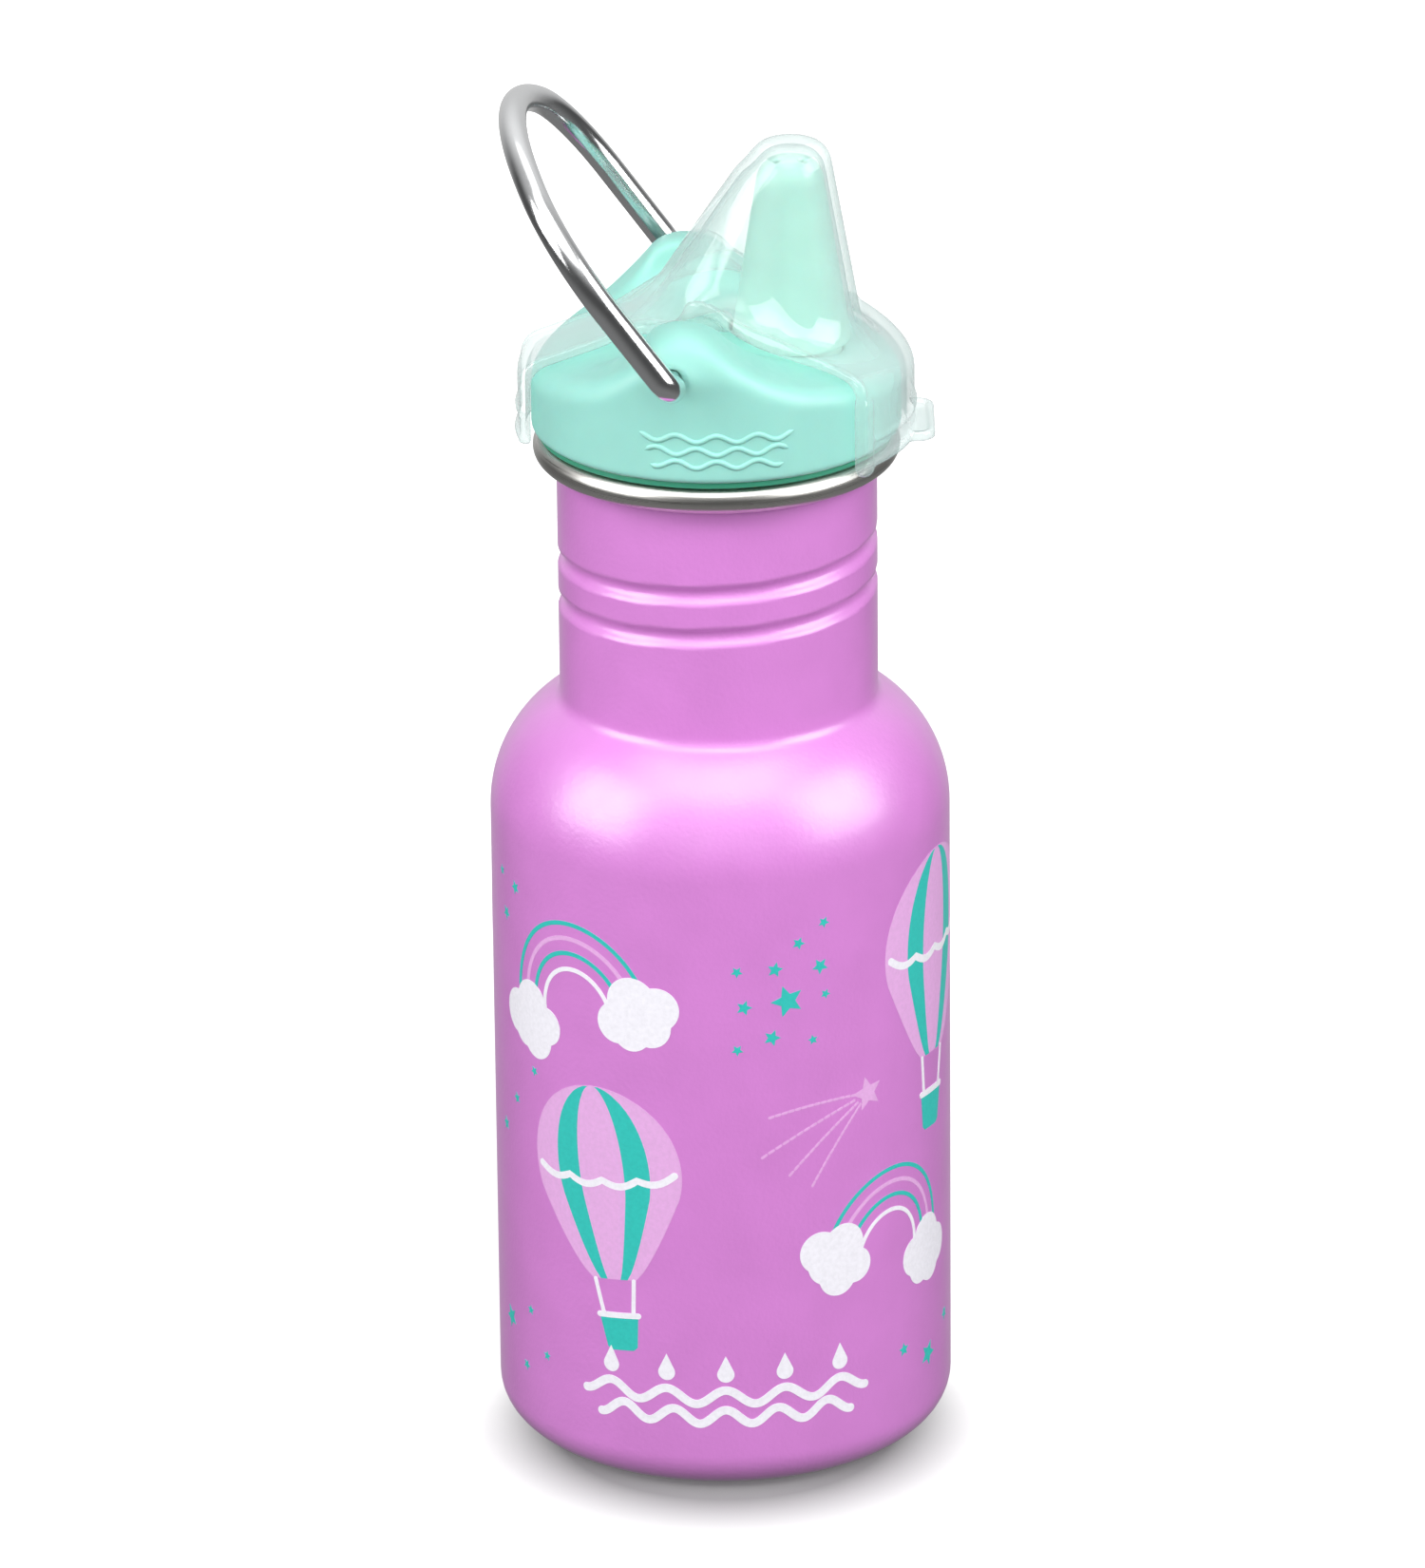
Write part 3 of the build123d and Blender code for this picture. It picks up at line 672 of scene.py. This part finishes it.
def make_prints():
    inks = {"white": [], "teal": [], "pink": []}
    for half_turn in (0, pi * BODY_R):
        before = {colour: len(shapes) for colour, shapes in inks.items()}
        for along, up, size in STARS:
            inks["teal"].append(star((along, up), size, 0.3 * along))
        rainbow(inks, (-22.6, 72.0), 1.06, 0.24)
        rainbow(inks, (26.4, 33.6), 1.0, -0.26)
        balloon(inks, (-18.6, 49.2), 12.6, 0.12)
        balloon(inks, (39.0, 78.6), 13.2, -0.06)
        trails(inks, (22.3, 59.6), [(6.3, 58.6), (5.2, 52.4), (9.3, 49.2), (12.8, 47.0)])
        for colour, shapes in inks.items():
            for n in range(before[colour], len(shapes)):
                shapes[n] = shapes[n] + (half_turn, 0)
    # Maker's place: a plain mark of rolling waves and drops.
    along = np.linspace(-21.5, 21.5, 130)
    for row in (0, 1):
        up = 15.4 - 3.1 * row + 1.1 * np.cos(along * 0.73)
        inks["white"].append(stroke(np.stack([along * (1 - 0.12 * row), up], -1), 1.3))
    for n in range(-2, 3):
        a = np.radians(np.arange(-210, 31, 12))
        x, z, r = 8.6 * n, 19.0, 1.25
        belly = np.stack([x + r * np.cos(a), z + r * np.sin(a)], -1)
        inks["white"].append(np.concatenate([belly, [(x, z + 2.9)]]))
    wrap_prints("print_pale_pink", inks["pink"], PINK_INK, 0.02)
    wrap_prints("print_teal", inks["teal"], TEAL_INK, 0.032)
    wrap_prints("print_white", inks["white"], WHITE_INK, 0.045)


# --- Cap --------------------------------------------------------------------------------------


def head_field(x, y, z):
    """Cap's head: sloped roof with two handle ears, inside a round wall with a soft top edge."""
    slope_left = (ROOF_RIDGE - ROOF_EDGE) / (RIDGE_LEFT + CAP_R)
    slope_right = (ROOF_RIDGE - ROOF_EDGE) / (CAP_R - RIDGE_RIGHT)
    left = (z - ROOF_EDGE - slope_left * (x + CAP_R)) / sqrt(1 + slope_left**2)
    right = (z - ROOF_EDGE + slope_right * (x - CAP_R)) / sqrt(1 + slope_right**2)
    roof = smax(smax(left, right, 2.5), z - ROOF_RIDGE, 1.5)
    steep = (EAR_TOP - EAR_FOOT) / (EAR_REACH - EAR_HALF)
    gentle = (EAR_TOP - EAR_FOOT) / (EAR_FORE_REACH - EAR_HALF)
    rear = (z - EAR_FOOT - steep * (x - EAR_X + EAR_REACH)) / sqrt(1 + steep**2)
    fore = (z - EAR_FOOT + gentle * (x - EAR_X - EAR_FORE_REACH)) / sqrt(1 + gentle**2)
    lean = (EAR_INNER_TOP - EAR_INNER_FOOT) / (EAR_TOP - ROOF_EDGE + 2)
    inner = (EAR_INNER_TOP - (EAR_TOP - z) * lean - np.abs(y)) / sqrt(1 + lean**2)
    ear = smax(smax(smax(rear, fore, 1), z - EAR_TOP, 2.6), inner, 1.6)
    top = smin(roof, ear, 4.5)
    r = np.hypot(x, y)
    out = np.clip(r - CAP_R + EAR_SHOULDER_R, 0, None) / EAR_SHOULDER_R
    up = np.clip(z - EAR_TOP + EAR_SHOULDER_Z, 0, None) / EAR_SHOULDER_Z
    wall = np.where(up > 0, (np.hypot(out, up) - 1) * EAR_SHOULDER_R, r - CAP_R)
    return smax(top, wall, 2.6)


def cap_field(x, y, z):
    r = np.hypot(x, y)
    head = smax(head_field(x, y, z), CAP_UNDER - z, 1.0)
    plug = smax(r - PLUG_R, PLUG_BOTTOM - z, 1.0)
    plug = smax(plug, z - CAP_UNDER - 2, 0.5)
    solid = smin(head, plug, 0.5)
    bore = smax(r - PLUG_BORE, z - BORE_TOP, 0.6)
    groove = smax(r - PLUG_BORE - SNAP_DEPTH, np.abs(z - SNAP_MIDDLE) - SNAP_HALF, 0.3)
    solid = smax(solid, -np.minimum(bore, groove), 0.4)
    from_spout = np.hypot(x - SPOUT_X, y)
    solid = smax(solid, -smax(from_spout - SEAT_R, SPOUT_SEAT - z, 0.3), 0.4)
    solid = np.maximum(solid, SPOUT_HOLE_R - from_spout)
    solid = smax(solid, VENT_R - np.hypot(x - VENT_X, y), 0.4)
    across = np.hypot(x - PIVOT[0], z - PIVOT[2])
    deep = sqrt(CAP_R**2 - PIVOT[0] ** 2) - np.abs(y)
    pin_hole = np.maximum(across - PIN_R - PIN_FIT, deep - PIN_DEPTH)
    cone = (across - RECESS_R + (RECESS_R - PIN_R) * np.clip(deep, 0, None) / RECESS_DEPTH) * 0.7
    cone = np.maximum(cone, deep - RECESS_DEPTH)
    return smax(solid, -np.minimum(pin_hole, cone), 0.35)


def make_cap(pitch):
    points, faces = surface(cap_field, (-CAP_R, -CAP_R, PLUG_BOTTOM), (CAP_R, CAP_R, EAR_TOP), pitch)
    mesh_piece("cap_head", points, faces, CAP_PLASTIC, "cap", ["cap_body"])
    # Thread on the plug, and a low relief of waves on the front of the skirt.
    a = np.linspace(0, CAP_THREAD_TURNS * 2 * pi, 150)
    climb = THREAD_START + PITCH - CAP_THREAD_DROP + PITCH * a / (2 * pi)
    turn = a + radians(THREAD_LEAD)
    coil = np.stack([CAP_THREAD_COIL * np.cos(turn), CAP_THREAD_COIL * np.sin(turn), climb], -1)
    fade = np.clip(np.minimum(a, a[-1] - a) / 0.3, 0.3, 1) * CAP_THREAD_R
    points, faces = tube(coil, fade, 16)
    mesh_piece("cap_thread", points, faces, CAP_PLASTIC, "cap", ["cap_body"])
    for row in range(RELIEF_ROWS):
        along = np.linspace(-RELIEF_HALF + row * 0.8, RELIEF_HALF - row * 0.8, 120)
        up = RELIEF_TOP - RELIEF_STEP * row + 0.5 * np.cos(along * 1.1 + pi * row)
        angle = along / CAP_R
        line = np.stack([CAP_R * np.sin(angle), -CAP_R * np.cos(angle), up], -1)
        line[:, :2] *= (CAP_R - RELIEF_SUNK) / CAP_R
        ends = np.clip(np.minimum(along - along[0], along[-1] - along), 0.25, 1)
        points, faces = tube(line, RELIEF_R * ends, 14)
        name = f"cap_relief_{row + 1}"
        mesh_piece(name, points, faces, CAP_PLASTIC, "cap", ["cap_body"])


# --- Spout ------------------------------------------------------------------------------------


def spout_field(x, y, z):
    """Soft cone with a drinking channel and three holes in its tip."""
    r = np.hypot(x - SPOUT_X, y)
    slope = (SPOUT_FOOT_R - SPOUT_TIP_R) / (spout_high.z - SPOUT_SEAT - SPOUT_FOOT)
    cone = (r - SPOUT_FOOT_R + slope * (z - SPOUT_SEAT - SPOUT_FOOT)) / sqrt(1 + slope**2)
    outside = smax(np.maximum(cone, r - SPOUT_FOOT_R), z - spout_high.z, 2 * SPOUT_WALL)
    outside = smax(outside, SPOUT_SEAT - z, 0.6)
    neck = np.maximum(r - SPOUT_NECK_R, spout_low.z + 1 - z)
    solid = np.minimum(outside, np.maximum(neck, z - SPOUT_SEAT - 2))
    channel = (r - CHANNEL_R + CHANNEL_TAPER * np.clip(z - SPOUT_SEAT - SPOUT_FOOT, 0, None)) * 0.99
    channel = smax(channel, z - spout_high.z + SPOUT_WALL, 1.5)
    solid = smax(solid, -channel, 0.2)
    for n in range(DRINK_HOLES):
        a = pi / 2 + n * 2 * pi / DRINK_HOLES
        hole = np.hypot(x - SPOUT_X - DRINK_CIRCLE * cos(a), y - DRINK_CIRCLE * sin(a)) - DRINK_R
        solid = smax(solid, -np.maximum(hole, spout_high.z - DRINK_DEPTH - z), 0.3)
    return solid


def make_spout(pitch):
    low = (SPOUT_X - SPOUT_FOOT_R, -SPOUT_FOOT_R, spout_low.z + 1)
    high = (SPOUT_X + SPOUT_FOOT_R, SPOUT_FOOT_R, spout_high.z)
    points, faces = surface(spout_field, low, high, pitch)
    mesh_piece("spout_cone", points, faces, SPOUT_SILICONE, "cap", ["spout"])
    bottom, top = spout_low.z, spout_low.z + FLANGE_THICKNESS
    inner = FLANGE_R - FLANGE_ROUND
    loop = [(0, bottom), (inner, bottom), (FLANGE_R, bottom + FLANGE_ROUND),
            (FLANGE_R, top - FLANGE_ROUND), (inner, top), (0, top)]
    points, faces = lathe(loop, 96)
    mesh_piece("spout_flange", points, faces, SPOUT_SILICONE, "cap", ["spout"])


# --- Dust cover -------------------------------------------------------------------------------


def plan_field(x, y):
    """Outline of the cover from above: hook band, wings up to the ears, and the deep skirt."""
    spread = tan(SKIRT_HALF_ANGLE)
    knots_x = np.array([-FAR_X, HOOK_X, WING_X, SKIRT_X, FAR_X])
    knots_y = np.array([HOOK_HALF, HOOK_HALF, WING_HALF, SKIRT_HALF, SKIRT_HALF + (FAR_X - SKIRT_X) * spread])
    slopes = np.array([0.0, 0.0, WING_SLOPE, spread, spread])
    n = np.clip(np.searchsorted(knots_x, x) - 1, 0, 3)
    span = knots_x[n + 1] - knots_x[n]
    t = np.clip((x - knots_x[n]) / span, 0, 1)
    half = (
        (1 + 2 * t) * (1 - t) ** 2 * knots_y[n]
        + t * (1 - t) ** 2 * span * slopes[n]
        + t * t * (3 - 2 * t) * knots_y[n + 1]
        + t * t * (t - 1) * span * slopes[n + 1]
    )
    lean = np.where(x > SKIRT_X, cos(SKIRT_HALF_ANGLE), np.where((x > HOOK_X) & (x < WING_X), 0.8, 1.0))
    return (np.abs(y) - half) * lean


def cover_field(x, y, z):
    r = np.hypot(x, y)
    from_dome = np.hypot(x - SPOUT_X, y)
    slope = (DOME_R - DOME_TIP_R) / (DOME_TOP - DOME_FOOT)
    cone = (from_dome - DOME_R + slope * (z - DOME_FOOT)) / sqrt(1 + slope**2)
    up = (z - DOME_FOOT) / (DOME_TOP - HEEL_DROP - DOME_FOOT)
    from_heel = np.hypot(x - HEEL_X - (HEEL_TIP_X - HEEL_X) * up, y)
    heel = (from_heel - HEEL_R + (HEEL_R - HEEL_TIP_R) * up) * 0.85
    heel = smax(heel, z - DOME_TOP + HEEL_DROP, HEEL_DROP)
    dome = smin(smax(cone, z - DOME_TOP, 3.2), heel, 1.5)
    outer = smin(head_field(x, y, z) - COVER_GAP - COVER_WALL, dome, 5.0)
    plan = plan_field(x, y)
    inner = outer + COVER_WALL
    # Thickened edge, a bead round the skirt's bottom and a rib above it.
    outer = outer - EDGE_EXTRA * np.clip(1 - np.abs(plan + EDGE_MIDDLE) / EDGE_REACH, 0, 1)
    bead = np.hypot(r - SKIRT_R + BEAD_SUNK, (z - COVER_BOTTOM - BEAD_R) * 0.9) - BEAD_R
    rib = np.hypot(r - SKIRT_R, z - RIB_Z) - RIB_R
    outer = smin(smin(outer, bead, 0.4), rib, 0.4)
    shell = smax(smax(outer, -inner, 0.3), plan, 0.5)
    shell = smax(shell, COVER_BOTTOM - z, 0.5)
    for side in (1, -1):
        a = side * (SKIRT_HALF_ANGLE - BAR_HALF / SKIRT_R)
        along, across = x * cos(a) + y * sin(a), y * cos(a) - x * sin(a)
        bar = smax(np.abs(across) - BAR_HALF, r - SKIRT_R - BAR_PROUD, 0.7)
        bar = smax(smax(bar, z - BAR_TOP, 1.2), cover_low.z - z, 1.4)
        bar = np.maximum(np.maximum(bar, CAP_R + COVER_GAP - r), -along)
        shell = smin(shell, bar, 0.5)
    reach = cover_high.x - TAB_CORNER
    corner = np.hypot(np.clip(x - reach, 0, None), np.clip(np.abs(y) - TAB_HALF, 0, None)) - TAB_CORNER
    tab = smax(corner, np.abs(z - COVER_BOTTOM - TAB_HALF_THICK) - TAB_HALF_THICK, 0.5)
    dish = smax(corner + TAB_RIM, COVER_BOTTOM + TAB_FLOOR - z, 0.3)
    tab = np.maximum(smax(tab, -dish, 0.4), SKIRT_R - 0.6 - r)
    return smin(shell, np.maximum(tab, -x), 0.4)


def make_cover(pitch):
    low = (-SKIRT_R - 0.5, -COVER_HALF_Y, cover_low.z)
    high = (cover_high.x, COVER_HALF_Y, cover_high.z)
    points, faces = surface(cover_field, low, high, pitch)
    cover = mesh_piece("dust_cover_shell", points, faces, CLEAR, "cover", ["dust_cover"])
    cover.visible_shadow = False


# --- Ring handle ------------------------------------------------------------------------------


def make_ring():
    """Bent wire: straight legs, rounded corners, a flatter far side, and thin pins turned in."""
    wire, tilt = 1.95, radians(36)
    half, corner, crown, reach, elbow = 31.4, 19.0, 44.0, 37.5, 2.8
    corner_v = half - corner
    corner_u = reach - crown + sqrt((crown - corner) ** 2 - corner_v**2)
    turn = acos(corner_v / (crown - corner))
    wall_v = sqrt(CAP_R**2 - PIVOT[0] ** 2)

    def arc(v, u, radius, start, end, count):
        return [(v + radius * cos(a), u + radius * sin(a)) for a in np.linspace(start, end, count)]

    right = [(v, 0.0) for v in np.linspace(wall_v - PIN_DEPTH + PIN_FIT, half - elbow, 14)]
    right += arc(half - elbow, elbow, elbow, -pi / 2, 0, 14)[1:]
    right += [(half, u) for u in np.linspace(elbow, corner_u, 8)][1:]
    right += arc(corner_v, corner_u, corner, 0, turn, 26)[1:]
    right += arc(0, reach - crown, crown, turn, pi / 2, 20)[1:]
    line = np.array(right + [(-v, u) for v, u in right[-2::-1]])
    path = np.stack([PIVOT[0] - line[:, 1] * sin(tilt), line[:, 0], PIVOT[2] + line[:, 1] * cos(tilt)], -1)
    # The wire narrows to its pin just outside the ear.
    out = np.abs(line[:, 0]) - (half - elbow)
    bare = (line[:, 1] < 1e-6) & (out < 0)
    radii = np.where(bare, PIN_R + (wire - PIN_R) * np.clip(1 + out / 0.9, 0, 1) ** 0.5, wire)
    points, faces = tube(path, radii, 40)
    mesh_piece("ring_wire", points, faces, WIRE, "handle", ["ring_handle"])


# --- Studio -----------------------------------------------------------------------------------


def make_floor():
    bm = bmesh.new()
    bmesh.ops.create_circle(bm, cap_ends=True, segments=64, radius=6.0)
    mesh = bpy.data.meshes.new("studio_floor")
    bm.to_mesh(mesh)
    bm.free()
    floor = bpy.data.objects.new("studio_floor", mesh)
    bpy.context.scene.collection.objects.link(floor)
    paint = Paint("studio_floor", (0.2, 0.2, 0.2, 1), 0.7)
    paint.set("Emission Color", (1, 1, 1, 1))
    # Glows like a light table. The glow is turned down close around the bottle and just in front of it, which
    # is a painted contact shadow.
    apart = paint.node("ShaderNodeVectorMath", operation="DISTANCE")
    apart.inputs[1].default_value = (0, -10 * MM, 0)
    paint.link(paint.place, apart.inputs[0])
    # Painted contact shadow: the glow fades out within a few millimetres of the bottle's foot.
    near = paint.ranged(apart.outputs["Value"], 0.10, 0.85, 24.5 * MM, 37 * MM)
    far = paint.ranged(apart.outputs["Value"], 0.0, 0.5, 0.1, 0.7)
    both = paint.node("ShaderNodeMath", operation="ADD")
    paint.link(near, both.inputs[0])
    paint.link(far, both.inputs[1])
    paint.link(both.outputs["Value"], paint.shader.inputs["Emission Strength"])
    mesh.materials.append(paint.material)
    floor.visible_diffuse = False
    floor.visible_glossy = False


def softbox(name, azimuth, elevation, distance, width, height, power, aim_height=0.09):
    """Rectangular area light looking at the bottle. Azimuth 0 is the camera's side."""
    a, e = radians(azimuth), radians(elevation)
    light = bpy.data.lights.new(name, "AREA")
    light.shape = "RECTANGLE"
    light.size, light.size_y, light.energy = width, height, power
    lamp = bpy.data.objects.new(name, light)
    bpy.context.scene.collection.objects.link(lamp)
    away = Vector((sin(a) * cos(e), -cos(a) * cos(e), sin(e)))
    lamp.location = Vector((0, 0, aim_height)) + away * distance
    lamp.rotation_euler = away.to_track_quat("Z", "Y").to_euler()
    return lamp


def make_light():
    softbox("key_left", -68, 28, 1.2, 0.9, 0.9, 13)
    softbox("key_right", 68, 28, 1.2, 0.9, 0.9, 13)
    for name, elevation, height, power in (("front_top", 54, 0.5, 7), ("front_low", 20, 0.7, 8.5)):
        softbox(name, 0, elevation, 1.4, 1.3, height, power).visible_glossy = False
    softbox("back_top", 180, 62, 1.4, 0.8, 0.6, 1.2)

    world = bpy.data.worlds.new("studio")
    bpy.context.scene.world = world
    world.use_nodes = True
    tree = world.node_tree
    way = tree.nodes.new("ShaderNodeTexCoord").outputs["Generated"]
    seen = tree.nodes.new("ShaderNodeLightPath").outputs

    def pick(ray, plain, special):
        """The special colour for this kind of ray, and the plain one for all others."""
        mix = tree.nodes.new("ShaderNodeMix")
        mix.data_type = "RGBA"
        for key, value in (("A", plain), ("B", special)):
            if isinstance(value, tuple):
                mix.inputs[key].default_value = value
            else:
                tree.links.new(value, mix.inputs[key])
        tree.links.new(seen[ray], mix.inputs["Factor"])
        return mix.outputs["Result"]

    # What gloss reflects: a dim room, its soft sky, pale wall behind, lamp overhead and floor.
    room = None
    for towards, start, end, strength in (
        ((0, 0, 1), 0.1, 0.9, 0.5),
        ((0, 0.97, 0.24), 0.55, 0.97, 0.6),
        ((0, -0.26, 0.97), 0.78, 0.98, 4.2),
        ((0, 0, -1), 0.1, 0.8, 0.15),
    ):
        facing = tree.nodes.new("ShaderNodeVectorMath")
        facing.operation = "DOT_PRODUCT"
        facing.inputs[1].default_value = towards
        tree.links.new(way, facing.inputs[0])
        glow = tree.nodes.new("ShaderNodeMapRange")
        glow.interpolation_type = "SMOOTHSTEP"
        for key, number in (("From Min", start), ("From Max", end), ("To Min", 0.02), ("To Max", strength)):
            glow.inputs[key].default_value = number
        tree.links.new(facing.outputs["Value"], glow.inputs["Value"])
        total = tree.nodes.new("ShaderNodeMath")
        total.operation = "ADD"
        total.inputs[1].default_value = 0
        tree.links.new(glow.outputs["Result"], total.inputs[0])
        if room:
            tree.links.new(room, total.inputs[1])
        room = total.outputs["Value"]
    lit = pick("Is Glossy Ray", (0.10, 0.10, 0.11, 1), room)
    tree.links.new(pick("Is Camera Ray", lit, (1, 1, 1, 1)), tree.nodes["Background"].inputs["Color"])


def make_camera():
    """Long lens above the front, at the photograph's angle; the bottle leans a hair to the left."""
    data = bpy.data.cameras.new("camera")
    data.sensor_width, data.lens = 36.0, 258.9
    camera = bpy.data.objects.new("camera", data)
    bpy.context.scene.collection.objects.link(camera)
    elevation, distance, look_height = 0.39, 1.623, 0.08
    pitch_up, yaw, roll = 0.0097, 0.00066, -0.010
    away = Vector((0, -cos(elevation), sin(elevation)))
    camera.location = Vector((0, 0, look_height)) + away * distance
    base = away.to_track_quat("Z", "Y").to_matrix()
    turn = Matrix.Rotation(pitch_up, 3, "X") @ Matrix.Rotation(yaw, 3, "Y") @ Matrix.Rotation(roll, 3, "Z")
    camera.rotation_euler = (base @ turn).to_euler()
    data.clip_start, data.clip_end = 0.05, 50
    bpy.context.scene.camera = camera


bpy.context.scene.view_settings.view_transform = "Standard"
pitch = 0.4
make_bottle()
make_prints()
make_cap(pitch)
make_spout(pitch * 0.8)
make_cover(min(pitch, 0.4))
make_ring()
for node, paint in (("base_plate", STEEL), ("cap_seal", SHADED_SEAL_SILICONE)):
    mesh = frame["nodes"][node].data
    mesh.materials.clear()
    mesh.materials.append(paint)
make_floor()
make_light()
make_camera()
